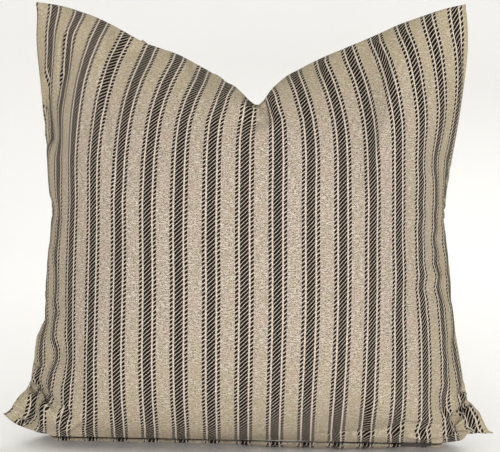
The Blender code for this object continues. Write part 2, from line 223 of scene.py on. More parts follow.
FINER = {
 1: [(12, 79.6), (24, 72.8), (36, 68.4), (48, 67.3), (60, 66.2), (72, 65.3), (84, 63.2), (96, 61.0), (108, 58.5), (120, 58.1), (132, 58.5), (144, 58.5), (156, 58.2), (168, 59.0), (180, 58.6), (192, 58.1), (204, 58.5), (216, 57.7), (228, 56.4), (240, 56.1), (252, 55.5), (264, 55.3), (276, 55.2), (288, 54.8), (300, 54.0), (312, 56.5), (324, 53.0), (336, 51.0), (348, 56.5), (360, 56.4), (372, 51.3), (384, 49.0), (400, 46), (415, 41), (430, 39)],
 14: [(24, 399.8), (36, 405.1), (48, 410.3), (60, 413.7), (72, 416.7), (84, 418.5), (96, 420.4), (108, 421.6), (120, 422.4), (132, 422.2), (144, 421.6), (156, 421.2), (168, 420.9), (180, 422.0), (192, 421.5), (204, 420.6), (216, 421.9), (228, 420.1), (240, 420.9), (252, 421.1), (264, 421.3), (276, 422.6), (288, 420.7), (300, 422.8), (312, 423.4), (324, 424.9), (336, 425.1), (348, 425.7), (408, 425.8), (420, 425.7), (432, 422.7)],
 15: [(12, 426.4), (24, 429.8), (36, 432.3), (48, 435.5), (60, 438.1), (72, 439.6), (84, 441.0), (96, 441.8), (108, 442.5), (120, 441.7), (132, 440.1), (144, 437.8), (156, 435.5), (168, 434.9), (180, 436.4), (192, 436.7), (204, 436.7), (216, 435.1), (228, 435.7), (240, 433.2), (252, 435.2), (264, 435.5), (276, 440.1), (288, 437.9), (300, 441.1), (312, 442.2), (324, 443.2), (336, 443.8), (348, 444.5), (360, 445.8), (372, 445.4), (384, 446.2), (396, 443.4), (408, 444.4), (420, 449.8), (432, 450.0)]}
for k_, v_ in FINER.items():
    v_ = np.array(v_, float)
    keep_ = np.isnan(GF[:, k_])
    GF[:, k_] = np.interp(FINE, v_[:, 0], v_[:, 1])
    GF[keep_, k_] = nan
GU = (0.79 + np.arange(17)) / 17.23
SIL_T = [(-60, 12), (36, 2), (38, 0), (55, 1), (70, 2), (80, 6), (90, 11), (100, 15), (110, 20), (120, 24), (130, 29), (140, 33), (150, 37), (160, 42), (170, 46), (180, 50), (190, 54), (200, 60), (210, 67), (220, 74), (230, 81), (240, 91), (250, 100), (260, 106), (270, 91), (280, 80), (290, 72), (300, 64), (310, 59), (320, 55), (330, 50), (340, 46), (350, 43), (360, 39), (370, 34), (380, 30), (390, 26), (400, 21), (410, 17), (420, 12), (430, 8), (440, 5), (450, 3), (460, 1), (466, 0), (560, 12)]
SIL_L = [(0, 36), (10, 35), (20, 36), (40, 36), (60, 37), (80, 39), (100, 41), (120, 43), (140, 45), (160, 47), (180, 48), (190, 48), (200, 51), (210, 52), (220, 51), (230, 50), (240, 49), (260, 47), (280, 46), (290, 45), (300, 45), (320, 45), (330, 39), (340, 35), (350, 34), (360, 34), (370, 32), (380, 31), (390, 26), (396, 18), (400, 8), (410, 1), (420, 8), (452, 8)]
SIL_R = [(0, 466), (10, 466), (20, 468), (40, 469), (60, 469), (70, 468), (80, 467), (90, 465), (100, 464), (110, 463), (120, 462), (130, 460), (140, 457), (150, 455), (160, 453), (170, 451), (180, 449), (190, 447), (200, 446), (210, 445), (220, 444), (230, 445), (240, 447), (250, 449), (260, 451), (280, 452), (290, 451), (300, 451), (310, 453), (320, 455), (330, 457), (340, 459), (350, 460), (360, 460), (370, 462), (380, 465), (390, 466), (400, 467), (410, 480), (420, 490), (430, 498), (452, 498)]
SIL_B = [(-20, 413), (0, 413), (10, 420), (20, 427), (30, 430), (40, 433), (50, 434), (60, 436), (80, 438), (100, 439), (150, 440), (200, 441), (230, 443), (250, 446), (270, 448), (300, 449), (335, 450), (360, 449), (390, 448), (410, 446), (430, 444), (450, 442), (470, 440), (490, 438), (520, 436)]
ST, SL, SR, SB = (np.array(a, float) for a in (SIL_T, SIL_L, SIL_R, SIL_B))

def hull(X, it, iters, pad=0.0):
    px, py, d = project(X)
    s = d / FOCAL
    lo = np.interp(py, SL[:, 0], SL[:, 1]) + pad
    hi = np.interp(py, SR[:, 0], SR[:, 1]) - pad
    X[..., 0] += np.maximum(0, lo - px) * s * 0.8 - np.maximum(0, px - hi) * s * 0.8
    t = np.interp(px, ST[:, 0], ST[:, 1]) + pad
    X[..., 2] -= np.maximum(0, t - py) * s * 0.8
    b = np.interp(px, SB[:, 0], SB[:, 1]) - pad
    b = np.broadcast_to(b, px.shape).copy()
    b[:, :, 0] = 460
    b[:, :, 1:4] += 2
    over = np.maximum(0, py - b)
    # below: move back along the floor
    X[..., 1] += np.minimum(over * s / math.tan(ELEV + 0.25) * 0.5, 0.004)

# folds and creases of the front panel: where they run in the picture, how deep (m) and how wide
FOLDS = [
 ([(30, 384), (40, 388), (50, 398), (62, 410), (74, 421)], 0.017, 4.2),
 ([(34, 402), (48, 410), (58, 424)], -0.012, 7.0),
 ([(28, 396), (30, 405), (27, 414), (18, 417)], 0.011, 3.4),
 ([(8, 406), (16, 404), (24, 406)], -0.005, 4.0),
 ([(44, 316), (50, 330), (47, 342)], 0.006, 5.0),
 ([(38, 330), (42, 344), (40, 358)], -0.006, 6.0),
 ([(54, 346), (50, 362), (42, 376)], 0.006, 4.5),
 ([(70, 380), (60, 392), (48, 396)], -0.005, 6.0),
 ([(67, 14), (67, 60), (61, 94), (58, 124), (60, 165)], 0.007, 4.0),
 ([(60, 20), (58, 60), (53, 90)], -0.004, 5.0),
 ([(53, 64), (46, 88), (49, 112), (55, 156)], 0.006, 3.2),
 ([(233, 120), (248, 121.5), (260, 117), (270, 106)], 0.005, 3.0),
 ([(214, 92), (238, 106), (256, 112)], -0.004, 7.0),
 ([(296, 437), (355, 433), (400, 432), (440, 429), (456, 424)], 0.010, 3.0),
 ([(470, 404), (460, 413), (450, 424)], 0.024, 3.6),
 ([(476, 412), (470, 422), (462, 430)], -0.010, 5.0),
 ([(468, 378), (462, 392), (456, 404)], 0.009, 4.0),
 ([(446, 396), (446, 412), (444, 426)], 0.007, 4.0),
 ([(452, 388), (454, 402), (452, 414)], -0.006, 5.0),
 ([(458, 330), (452, 350), (455, 372)], 0.006, 4.0),
 ([(447, 300), (450, 322), (447, 344)], -0.004, 5.0),
 ([(451, 262), (444, 282), (449, 304)], 0.006, 4.0),
 ([(446, 214), (438, 236), (444, 256)], 0.006, 4.0),
 ([(440, 222), (432, 244), (437, 262)], -0.003, 5.0),
 ([(52, 196), (58, 222), (52, 250)], 0.006, 4.5),
 ([(50, 262), (54, 284), (49, 306)], 0.005, 4.5),
]


def fold_field(X):
    px, py, d = project(X[0])
    out = np.zeros(px.shape)
    for line, depth, width in FOLDS:
        L = np.array(line, float)
        seg = np.linalg.norm(np.diff(L, axis=0), axis=1)
        total = seg.sum()
        best = np.full(px.shape, 1e9)
        along = np.zeros(px.shape)
        run = 0.0
        for a, b, s in zip(L[:-1], L[1:], seg):
            q = np.clip(((px - a[0]) * (b[0] - a[0]) + (py - a[1]) * (b[1] - a[1])) / (s * s), 0, 1)
            dd = (px - a[0] - q * (b[0] - a[0])) ** 2 + (py - a[1] - q * (b[1] - a[1])) ** 2
            hit = dd < best
            best = np.where(hit, dd, best)
            along = np.where(hit, run + q * s, along)
            run += s
        taper = smooth(np.minimum(along, total - along) / (0.28 * total) + 0.15)
        out += depth * np.exp(-best / (width * width)) * taper
    out[0] = out[-1] = 0
    out[:, 0] = out[:, -1] = 0
    return out


def guide(X, w):
    n = X.shape[1] - 1
    px, py, d = project(X[0])
    s = d / FOCAL
    u = np.linspace(0, 1, n + 1)
    q = np.clip((u - GU[0]) / (GU[1] - GU[0]), -0.999, 16.999)
    inside = (q >= 0) & (q <= 16)
    qc = np.clip(q, 0, 15.999)
    k = qc.astype(int)
    f = (qc - k)[:, None]
    r = np.clip(py / 4.0, 0, len(FINE) - 1.001)
    ri = r.astype(int)
    rf = r - ri
    def at(kk):
        return GF[ri, kk[:, None]] * (1 - rf) + GF[ri + 1, kk[:, None]] * rf
    target = at(k) * (1 - f) + at(k + 1) * f
    ww = np.where(np.isnan(target), 0, 1.0) * inside[:, None]
    v = np.linspace(0, 1, n + 1)[None, :]
    ww = ww * np.clip(v / 0.03, 0, 1)
    dx = np.where(ww > 0, np.nan_to_num(target) - px, 0) * s
    X[0, ..., 0] += w * ww * np.clip(dx, -0.01, 0.01)


def valley(u):
    """how far the top seam lies below the rolled edge in front of it"""
    a = smooth((u - 0.10) / 0.22) * smooth((0.93 - u) / 0.22)
    return 0.022 * a

def start3(n, tall=0.48):
    S = seams(n)
    t = np.linspace(0, 1, n + 1)
    bottom, top, left, right = S
    zip_ = smooth((0.195 - np.abs(bottom[:, 0])) / 0.02)
    bottom = bottom.copy()
    bottom[:, 2] += zip_ * (0.012 - bottom[:, 2])
    bottom[:, 1] += zip_ * (-0.0603 - bottom[:, 1])
    # the rolled top edge of the front panel, and the roll over the bottom seam
    ridge = curve(TOP, t, -0.004 + 0 * t)
    ridge[:, 1] = -0.006 * smooth((t - 0.08) / 0.1) * smooth((0.94 - t) / 0.1)
    roll = bottom.copy()
    roll[:, 1] -= np.interp(t, [0, 0.2, 0.50, 0.70, 1], [0.004, 0.004, 0.008, 0.013, 0.012])
    roll[:, 2] = np.interp(t, [0, 0.2, 0.50, 0.70, 0.85, 1], [0.026, 0.026, 0.020, 0.020, 0.025, 0.025])
    top = top.copy()
    top[:, 2] -= valley(t)
    top[:, 1] += 0.010 * smooth((t - 0.1) / 0.2) * smooth((0.93 - t) / 0.2)
    M = coons(bottom, top, left, right)
    S = (bottom, top, left, right, ridge, roll)
    u, v = t[:, None], t[None, :]
    M[..., 1] = seam_y(u) * (1 - v) ** 3.5 + top[:, 1][:, None] * v
    bf = 0.118 * crown(u, 2.6, 0.8) * crown(v ** 1.0, 2.4, 0.75)
    bb = 0.120 * crown(u, 2.6, 0.8) * crown(v ** 0.85, 2.2, 0.75)
    tb = np.radians(70) * (1 - v) ** 5
    tf = np.radians(45) * (1 - v) ** 12
    tt = np.radians(60) * v ** 10
    X = np.stack([M, M])
    X[0, ..., 1] -= bf * np.cos(tf) * np.cos(tt)
    X[0, ..., 2] += bf * np.sin(tf) + bf * np.sin(tt)
    X[1, ..., 1] += bb * np.cos(tb) * np.cos(tt)
    X[1, ..., 2] -= bb * np.sin(tb) - 0.5 * bb * np.sin(tt)
    X[..., 2] = np.maximum(X[..., 2], 0)
    return X, S

SHARE = np.array([0.93, 1.0]).reshape(2, 1, 1, 1)
LEAN = 0.000017
PUSH = 0.05


def pairs(A, B, rest, stiff, comp):
    d = B - A
    l = np.sqrt(np.einsum('...i,...i', d, d))[..., None] + 1e-12
    c = l - rest
    s = np.where(c > 0, stiff, comp)
    d *= (0.5 * s * c / l)
    A += d
    B -= d

def relax3(X, S, iters, vol, hu, hv, stretch=1.0, comp=0.15, shear=0.1, bend=0.05, attract=0.06, side=0.5, damp=0.9, load=0.5, sweeps=2, gap=0.0025, gw=0.05, log=None, pres=2e-4, floor_grip=0.2, folds=0.0):
    V = np.zeros_like(X)
    n = X.shape[1] - 1
    p = 0.0
    h = 0.5 * (hu + hv)
    bottom, top, left, right, ridge, roll = S
    q = math.hypot(hu, hv)
    tt = np.linspace(0, 1, n + 1)
    jr = (1 - (valley(tt) + 0.004) / (hv * n)) * n
    inner = smooth((tt - 0.09) / 0.1) * smooth((0.93 - tt) / 0.1)
    inner2 = (0.25 + 0.75 * smooth((tt - 0.45) / 0.2)) * smooth((tt - 0.08) / 0.06) * smooth((0.92 - tt) / 0.06)
    j0 = np.minimum(jr.astype(int), n - 1)
    jf = jr - j0
    ii = np.arange(n + 1)
    jb = 0.013 / hv
    b0, bf_ = int(jb), jb - int(jb)
    # the pillow's weight lays the bottom of its back panel on the floor
    lean = LEAN * (48 / n) * (np.sin(np.pi * tt)[:, None] * np.sin(np.pi * tt ** 0.9)[None, :])
    press = 0.00015 * (48 / n) * (smooth((tt - 0.05) / 0.08) * smooth((0.95 - tt) / 0.08))[:, None] * (smooth(tt / 0.03) * smooth((0.24 - tt) / 0.12))[None, :]
    field = fold_field(X) * folds if folds else None
    for it in range(iters):
        P0 = X.copy()
        N = normals(X)
        vnow = volume(X)
        p = np.clip(p + (vol - vnow) / vol * 0.4, PUSH, 6.0)
        grad = 1 + load * (0.5 - X[..., 2:3] / 0.44) * 2
        X += V * damp + N / (h * h) * (p * grad) * pres * (h / 0.004)
        for _ in range(sweeps):
            for a in (0, 1):
                m = (n + 1 - a) // 2 * 2
                Y = X[:, a:a + m]
                pairs(Y[:, 0::2], Y[:, 1::2], hu, stretch, comp)
                Y = X[:, :, a:a + m]
                pairs(Y[:, :, 0::2], Y[:, :, 1::2], hv * SHARE, stretch, comp)
            if shear:
                for a in (0, 1):
                    m = (n + 1 - a) // 2 * 2
                    Y = X[:, a:a + m]
                    pairs(Y[:, 0::2, :-1], Y[:, 1::2, 1:], q, shear, shear * 0.3)
                    pairs(Y[:, 1::2, :-1], Y[:, 0::2, 1:], q, shear, shear * 0.3)
            weld(X)
        if bend:
            L = np.zeros_like(X)
            L[:, 1:-1] += 0.5 * (X[:, 2:] + X[:, :-2]) - X[:, 1:-1]
            L[:, :, 1:-1] += 0.5 * (X[:, :, 2:] + X[:, :, :-2]) - X[:, :, 1:-1]
            B = np.zeros_like(X)
            B[:, 1:-1] += 0.5 * (L[:, 2:] + L[:, :-2]) - L[:, 1:-1]
            B[:, :, 1:-1] += 0.5 * (L[:, :, 2:] + L[:, :, :-2]) - L[:, :, 1:-1]
            X[:, 1:-1, 1:-1] -= bend * B[:, 1:-1, 1:-1]
            # the seams are stiffer than one layer of cloth
            for sl in ((slice(None), 0), (slice(None), -1), (0, slice(None)), (-1, slice(None))):
                c = X[0][sl].copy()
                c[1:-1] += 0.25 * (0.5 * (X[0][sl][2:] + X[0][sl][:-2]) - X[0][sl][1:-1])
                X[0][sl] = c; X[1][sl] = c
        if gw:
            guide(X, gw)
        cur = X[0, ii, j0] * (1 - jf)[:, None] + X[0, ii, j0 + 1] * jf[:, None]
        mv = (ridge - cur) * (inner * 0.12)[:, None] * np.array([1, 0.5, 1])
        X[0, ii, j0] += mv * (1 - jf)[:, None]
        X[0, ii, j0 + 1] += mv * jf[:, None]
        cur = X[0, :, b0] * (1 - bf_) + X[0, :, b0 + 1] * bf_
        mv = (roll - cur) * (inner2 * 0.05)[:, None] * np.array([0, 1, 1])
        X[0, :, b0] += mv * (1 - bf_)
        X[0, :, b0 + 1] += mv * bf_
        hull(X, it, iters)
        X[1, :, :, 2] -= press
        X[..., 1] += lean
        for q2 in (0, 1):
            for sl, T, w in (((slice(None), 0), bottom, (3, 3, 3)), ((slice(None), -1), top, (1, 1, 1)), ((0, slice(None)), left, (1 * side, 0.2 * side, 1 * side)), ((-1, slice(None)), right, (1 * side, 0.2 * side, 1 * side))):
                X[q2][sl] += attract * np.array(w) * (T - X[q2][sl])
        weld(X)
        mid = N[0] - N[1]
        mid /= np.linalg.norm(mid, axis=-1, keepdims=True) + 1e-12
        s = ((X[0] - X[1]) * mid).sum(-1)
        near = np.linalg.norm(X[0] - X[1], axis=-1) < 0.02
        lack = np.clip(gap - s, 0, 2 * gap) * near
        lack[0] = lack[-1] = 0; lack[:, 0] = lack[:, -1] = 0
        X[0] += 0.5 * lack[..., None] * mid
        X[1] -= 0.5 * lack[..., None] * mid
        floor = X[..., 2] < 0
        X[..., 2][floor] = 0
        V = X - P0
        s = np.linalg.norm(V, axis=-1, keepdims=True)
        V *= np.minimum(1, 0.003 / (s + 1e-12))
        V[floor] *= floor_grip
        if field is not None and it < iters * 0.8:
            X[0, ..., 1] += field / (iters * 0.8)
        if log and it % log == 0:
            print(it, 'vol %.2f L p %.2f move %.3f mm  y %.1f..%.1f' % (vnow * 1000, p, s.mean() * 1000, X[..., 1].min() * 1000, X[..., 1].max() * 1000), flush=True)
    return X

# ------------------------------------------------------------------ the cushion's two panels, sewn and filled
TALL = 0.480            # the cloth draws up a little along its warp


def simulate():
    n = 48
    X, S = start3(n)
    X = relax3(X, S, 500, 0.0220, 0.508 / n, TALL / n, bend=0.02)
    X = refine(X)
    n *= 2
    S = start3(n)[1]
    X = relax3(X, S, 260, 0.0220, 0.508 / n, TALL / n, bend=0.04, comp=0.25)
    X = refine(X)
    n *= 2
    S = start3(n)[1]
    X = relax3(X, S, 130, 0.0220, 0.508 / n, TALL / n, bend=0.03, comp=0.4, folds=6.0)
    return X


FOLD_PRESS = 0.24
X = simulate()
N_CELLS = X.shape[1] - 1
T = np.linspace(0, 1, N_CELLS + 1)

# the sharp folds of the ears and sides are deeper than the cloth grid settles to by itself:
# the front panel is pressed in along them, and the back panel goes with it where the two touch
nrm = normals(X)[0]
nrm = nrm / np.maximum(np.linalg.norm(nrm, axis=-1, keepdims=True), 1e-12)
nrm = np.where(nrm[..., 1:2] > 0, -nrm, nrm)
press_in = fold_field(X)[..., None] * FOLD_PRESS
near = np.exp(-((np.linalg.norm(X[0] - X[1], axis=-1, keepdims=True) / 0.014) ** 2))
X[0] -= nrm * press_in
X[1] -= nrm * press_in * near

# no point of the cloth stands out of its neighbours by more than the cloth can bend
LIMIT = 0.0011 * (192 / N_CELLS) ** 2
for _ in range(8):
    for q in (0, 1):
        A = X[q]
        mean = 0.25 * (A[2:, 1:-1] + A[:-2, 1:-1] + A[1:-1, 2:] + A[1:-1, :-2])
        off = np.linalg.norm(A[1:-1, 1:-1] - mean, axis=-1, keepdims=True)
        A[1:-1, 1:-1] += 0.7 * np.clip(off / LIMIT - 1, 0, 1) * (mean - A[1:-1, 1:-1])

# the top seam runs smooth from the corners down to the chop
TOP_ROWS = max(4, round(16 * N_CELLS / 192))
along_u = (np.clip(np.abs(T[1:-1] - 0.5) / 0.05 - 0.5, 0, 1) * np.minimum(1, np.minimum(T[1:-1], 1 - T[1:-1]) / 0.04))[:, None, None]
along_v = np.linspace(0.05, 1, TOP_ROWS)[None, :, None]
for _ in range(70):
    for q in (0, 1):
        A = X[q]
        A[1:-1, -TOP_ROWS:] += along_u * along_v * (0.5 * (A[2:, -TOP_ROWS:] + A[:-2, -TOP_ROWS:]) - A[1:-1, -TOP_ROWS:])

# the pressed, topstitched edges along the bottom seam lie smooth
ROWS_ = max(3, round(8 * N_CELLS / 192))
for _ in range(40):
    for q in (0, 1):
        A = X[q]
        mean = 0.25 * (A[2:, 1:ROWS_] + A[:-2, 1:ROWS_] + A[1:-1, 2:ROWS_ + 1] + A[1:-1, 0:ROWS_ - 1])
        ends = np.minimum(1, np.minimum(T[1:-1], 1 - T[1:-1]) / 0.10)[:, None, None] ** 2
        fade_ = (1 - (np.arange(1, ROWS_) / ROWS_) ** 2)[None, :, None]
        A[1:-1, 1:ROWS_] += 0.8 * ends * fade_ * (mean - A[1:-1, 1:ROWS_])

# along the zip the seam lies exactly where the zip does
line_now = X[0][:, 0].copy()
along_zip = smooth((ZIP_X[1] + 0.012 - line_now[:, 0]) / 0.012) * smooth((line_now[:, 0] - ZIP_X[0] + 0.012) / 0.012)
miss = np.stack([0 * along_zip, (ZIP_Y - line_now[:, 1]) * along_zip, (ZIP_Z - line_now[:, 2]) * along_zip], -1)
reach = np.exp(-(T * 0.48 / 0.016) ** 2)
X[:, :, :, :] += miss[None, :, None, :] * reach[None, None, :, None]
X[..., 2] = np.maximum(X[..., 2], 0.0)


def unit(a):
    return a / (np.linalg.norm(a, axis=-1, keepdims=True) + 1e-12)


def border(A, side):
    return {"bottom": A[:, 0], "top": A[:, -1], "left": A[0], "right": A[-1]}[side]


def smooth_line(c, k):
    c = c.copy()
    for _ in range(k):
        c[1:-1] = 0.5 * c[1:-1] + 0.25 * (c[:-2] + c[2:])
    return c


MID = 0.5 * (X[0] + X[1])
DEEP = max(3, N_CELLS // 24)
INWARD = {}
for side in ("bottom", "top", "left", "right"):
    edge = border(MID, side)
    deep = {"bottom": MID[:, DEEP], "top": MID[:, -1 - DEEP], "left": MID[DEEP], "right": MID[-1 - DEEP]}[side]
    INWARD[side] = unit(smooth_line(deep - edge, 6))
in_zip = smooth((ZIP_X[1] + 0.008 - X[0][:, 0, 0]) / 0.008) * smooth((X[0][:, 0, 0] - ZIP_X[0] + 0.008) / 0.008)
INWARD["bottom"] = unit(INWARD["bottom"] * (1 - in_zip)[:, None] + np.array([0, 1.0, 0]) * in_zip[:, None])

# the zip holds the two panels' folded edges apart
SLOT = 0.0011
for j in range(4):
    fade = (1 - j / 4) ** 1.5
    X[0, :, j, 2] += SLOT * in_zip * fade
    X[1, :, j, 2] -= SLOT * in_zip * fade
X[..., 2] = np.maximum(X[..., 2], 0.0)

ALLOWANCE = 0.010
MARGIN = 0.010
CUT = 0.508 + 2 * MARGIN


def panel_uv(i, j):
    return ((MARGIN + 0.508 * i / N_CELLS) / CUT, (MARGIN + 0.508 * j / N_CELLS) / CUT)


def make_mesh(name, verts, faces, uvs=None, smooth_shade=True):
    me = bpy.data.meshes.new(name)
    me.from_pydata([tuple(map(float, v)) for v in verts], [], faces)
    if uvs is not None:
        layer = me.uv_layers.new(name="OFBake")
        loops = np.zeros(len(me.loops), dtype=np.int32)
        me.loops.foreach_get("vertex_index", loops)
        layer.data.foreach_set("uv", np.asarray(uvs, dtype=np.float32)[loops].ravel())
    if smooth_shade:
        me.polygons.foreach_set("use_smooth", np.ones(len(me.polygons), dtype=bool))
    me.update()
    ob = bpy.data.objects.new(name, me)
    scene.collection.objects.link(ob)
    return ob


def apply_modifiers(ob):
    dg = bpy.context.evaluated_depsgraph_get()
    me = bpy.data.meshes.new_from_object(ob.evaluated_get(dg), preserve_all_data_layers=True, depsgraph=dg)
    old = ob.data
    ob.modifiers.clear()
    ob.data = me
    me.name = ob.name
    bpy.data.meshes.remove(old)
    return ob


def panel(name, P, front):
    """A cut panel: the shaped face with its allowances turned in behind the seams."""
    n = P.shape[0] - 1
    verts = [P[i, j] for i in range(n + 1) for j in range(n + 1)]
    uvs = [panel_uv(i, j) for i in range(n + 1) for j in range(n + 1)]
    at = lambda i, j: i * (n + 1) + j
    faces = []
    for i in range(n):
        for j in range(n):
            q = (at(i, j), at(i + 1, j), at(i + 1, j + 1), at(i, j + 1))
            faces.append(q if front else q[::-1])
    skip = max(2, round(0.016 / 0.508 * n))
    rings = 3
    sign = 1.0 if front else -1.0
    for side in ("bottom", "top", "left", "right"):
        edge = border(P, side)
        inward = INWARD[side]
        along = unit(np.gradient(edge, axis=0))
        out = unit(np.cross(along, inward))
        # towards this panel's own side of the seam
        own = {"bottom": P[:, DEEP], "top": P[:, -1 - DEEP], "left": P[DEEP], "right": P[-1 - DEEP]}[side] - edge
        out *= np.sign((out * own).sum(-1, keepdims=True))
        out = unit(smooth_line(out, 4))
        if side == "bottom":
            up = np.array([0, 0, sign])
            out = unit(out * (1 - in_zip)[:, None] + up * in_zip[:, None])
        index = {"bottom": lambda k: at(k, 0), "top": lambda k: at(k, n), "left": lambda k: at(0, k), "right": lambda k: at(n, k)}[side]
        rows = [[index(k) for k in range(skip, n + 1 - skip)]]
        for r in range(1, rings + 1):
            a = (0.16, 0.55, 1.0)[r - 1]
            lift = 0.0009 if side != "bottom" else 0.0009 + 0.0016 * in_zip[skip:n + 1 - skip, None]
            pts = edge[skip:n + 1 - skip] + inward[skip:n + 1 - skip] * ALLOWANCE * a + out[skip:n + 1 - skip] * lift
            start_at = len(verts)
            for k, p in zip(range(skip, n + 1 - skip), pts):
                verts.append(p)
                m = MARGIN * a / CUT
                u, v = panel_uv(*{"bottom": (k, 0), "top": (k, n), "left": (0, k), "right": (n, k)}[side])
                uvs.append((u + {"left": -m, "right": m}.get(side, 0), v + {"bottom": -m, "top": m}.get(side, 0)))
            rows.append(list(range(start_at, start_at + len(pts))))
        for a_, b_ in zip(rows[:-1], rows[1:]):
            for k in range(len(a_) - 1):
                q = (a_[k], b_[k], b_[k + 1], a_[k + 1])
                if (side in ("bottom", "right")) != front:
                    q = q[::-1]
                faces.append(q[::-1])
    ob = make_mesh(name, verts, faces, uvs)
    mod = ob.modifiers.new("cloth", "SOLIDIFY")
    mod.thickness = 0.0009
    mod.offset = -1.0
    mod.use_even_offset = False
    apply_modifiers(ob)
    return ob


cover_front = panel("cover_front", X[0], True)
cover_back = panel("cover_back", X[1], False)


# ------------------------------------------------------------------ threads
def tube(name, paths, radius, sides=6):
    verts, faces = [], []
    for path in paths:
        P = np.asarray(path, float)
        tan = unit(np.gradient(P, axis=0))
        ref = np.array([0.31, 0.52, 0.79])
        a = unit(np.cross(tan, ref))
        b = np.cross(tan, a)
        start_at = len(verts)
        for k in range(len(P)):
            for s in range(sides):
                w = 2 * math.pi * s / sides
                verts.append(P[k] + radius * (math.cos(w) * a[k] + math.sin(w) * b[k]))
        for k in range(len(P) - 1):
            for s in range(sides):
                q = start_at + k * sides
                faces.append((q + s, q + (s + 1) % sides, q + sides + (s + 1) % sides, q + sides + s))
        faces.append(tuple(start_at + s for s in range(sides))[::-1])
        faces.append(tuple(start_at + (len(P) - 1) * sides + s for s in range(sides)))
    return make_mesh(name, verts, faces)


def resample(P, step):
    s = np.concatenate([[0], np.cumsum(np.linalg.norm(np.diff(P, axis=0), axis=1))])
    m = max(2, int(s[-1] / step))
    q = np.linspace(0, s[-1], m + 1)
    return np.stack([np.interp(q, s, P[:, k]) for k in range(3)], -1), q


def seam_runs():
    """The sewn stretches of the outline, as (edge line, inward, across) in order; the zip's stretch is left open."""
    n = N_CELLS
    skip = max(2, round(0.018 / 0.508 * n))
    closed = np.where(in_zip < 0.02)[0]
    runs = []
    low = closed[closed < n // 2]
    high = closed[closed > n // 2]
    for side, ks in (("bottom", low[low >= skip]), ("left", np.arange(skip, n + 1 - skip)), ("top", np.arange(skip, n + 1 - skip)),
                     ("right", np.arange(skip, n + 1 - skip)), ("bottom", high[high <= n - skip])):
        if len(ks) < 3:
            continue
        edge = border(MID, side)[ks]
        inward = INWARD[side][ks]
        along = unit(np.gradient(edge, axis=0))
        out = unit(np.cross(along, inward))
        own = {"bottom": X[0][:, DEEP], "top": X[0][:, -1 - DEEP], "left": X[0][DEEP], "right": X[0][-1 - DEEP]}[side][ks] - edge
        out *= np.sign((out * own).sum(-1, keepdims=True))
        runs.append((edge, inward, unit(smooth_line(out, 4))))
    return runs


def stitched(inset, swing, pitch, lift, step):
    paths = []
    for edge, inward, out in seam_runs():
        line, s = resample(edge + inward * inset, step)
        size = len(line)
        src = np.linspace(0, 1, len(edge))
        dst = np.linspace(0, 1, size)
        o = unit(np.stack([np.interp(dst, src, out[:, k]) for k in range(3)], -1))
        w = unit(np.stack([np.interp(dst, src, inward[:, k]) for k in range(3)], -1))
        ph = 2 * math.pi * s / pitch
        paths.append(line + o * (lift[0] + lift[1] * np.cos(ph))[:, None] + w * (swing * np.sin(ph))[:, None])
    return paths


needle = tube("cover_seam_needle_thread", stitched(0.0022, 0.0, 0.0028, (0.0007, 0.0006), 0.0007), 0.00016, 5)
bobbin = tube("cover_seam_bobbin_thread", stitched(0.0022, 0.0, 0.0028, (-0.0007, 0.0006), 0.0007), 0.00016, 5)
overlock = tube("cover_overlock_thread_loops", stitched(0.0084, 0.0016, 0.0030, (0.0, 0.0016), 0.0006), 0.00015, 5)

# ------------------------------------------------------------------ the insert
def coarse(A, k):
    return A[::k, ::k]


STEP = max(1, N_CELLS // 64)
FS, BS = X[0], X[1]
for _ in range(2):
    FS = FS.copy(); BS = BS.copy()
    for A in (FS, BS):
        A[1:-1, 1:-1] = 0.5 * A[1:-1, 1:-1] + 0.125 * (A[2:, 1:-1] + A[:-2, 1:-1] + A[1:-1, 2:] + A[1:-1, :-2])
FC, BC = coarse(FS, STEP), coarse(BS, STEP)


def inner(inset, low, high, gap, count):
    """front and back surfaces of a form inside the cover, inset from its seams and gap clear of its panels"""
    n = FC.shape[0] - 1

    def places(a, b):
        t = a / 0.508 + (1 - (a + b) / 0.508) * np.linspace(0, 1, count + 1)
        q = np.clip(t * n, 0, n - 1e-6)
        return q.astype(int), q - q.astype(int)
    k, f = places(inset, inset)
    kv, fv = places(low, high)

    def sample(A):
        R = A[k] * (1 - f)[:, None, None] + A[k + 1] * f[:, None, None]
        return R[:, kv] * (1 - fv)[None, :, None] + R[:, kv + 1] * fv[None, :, None]
    Fp, Bp = sample(FC), sample(BC)
    M = 0.5 * (Fp + Bp)
    half = np.linalg.norm(Fp - M, axis=-1, keepdims=True)
    w = np.linspace(0, 1, count + 1)
    e = np.minimum(np.minimum(w, 1 - w)[:, None], np.minimum(w, 1 - w)[None, :]) * count
    ramp = np.sqrt(np.clip(e / (count * 0.10), 0, 1))[..., None]
    keep = np.clip(1 - gap / np.maximum(half, 1e-6), 0, 1) * ramp
    return M + (Fp - M) * keep, M + (Bp - M) * keep, M


def grid_faces(n, front, offset=0):
    out = []
    for i in range(n):
        for j in range(n):
            a = offset + i * (n + 1) + j
            q = (a, a + n + 1, a + n + 2, a + 1)
            out.append(q if front else q[::-1])
    return out


CC = 60
CF, CB, CM = inner(0.032, 0.022, 0.064, 0.009, CC)


def casing(name, P, front):
    n = P.shape[0] - 1
    uvs = [(0.02 + 0.96 * i / n, 0.02 + 0.96 * j / n) for i in range(n + 1) for j in range(n + 1)]
    ob = make_mesh(name, P.reshape(-1, 3), grid_faces(n, front), uvs)
    mod = ob.modifiers.new("cloth", "SOLIDIFY")
    mod.thickness = 0.0005
    mod.offset = -1.0
    apply_modifiers(ob)
    return ob


casing_front = casing("insert_casing_front_panel", CF, True)
casing_back = casing("insert_casing_back_panel", CB, False)

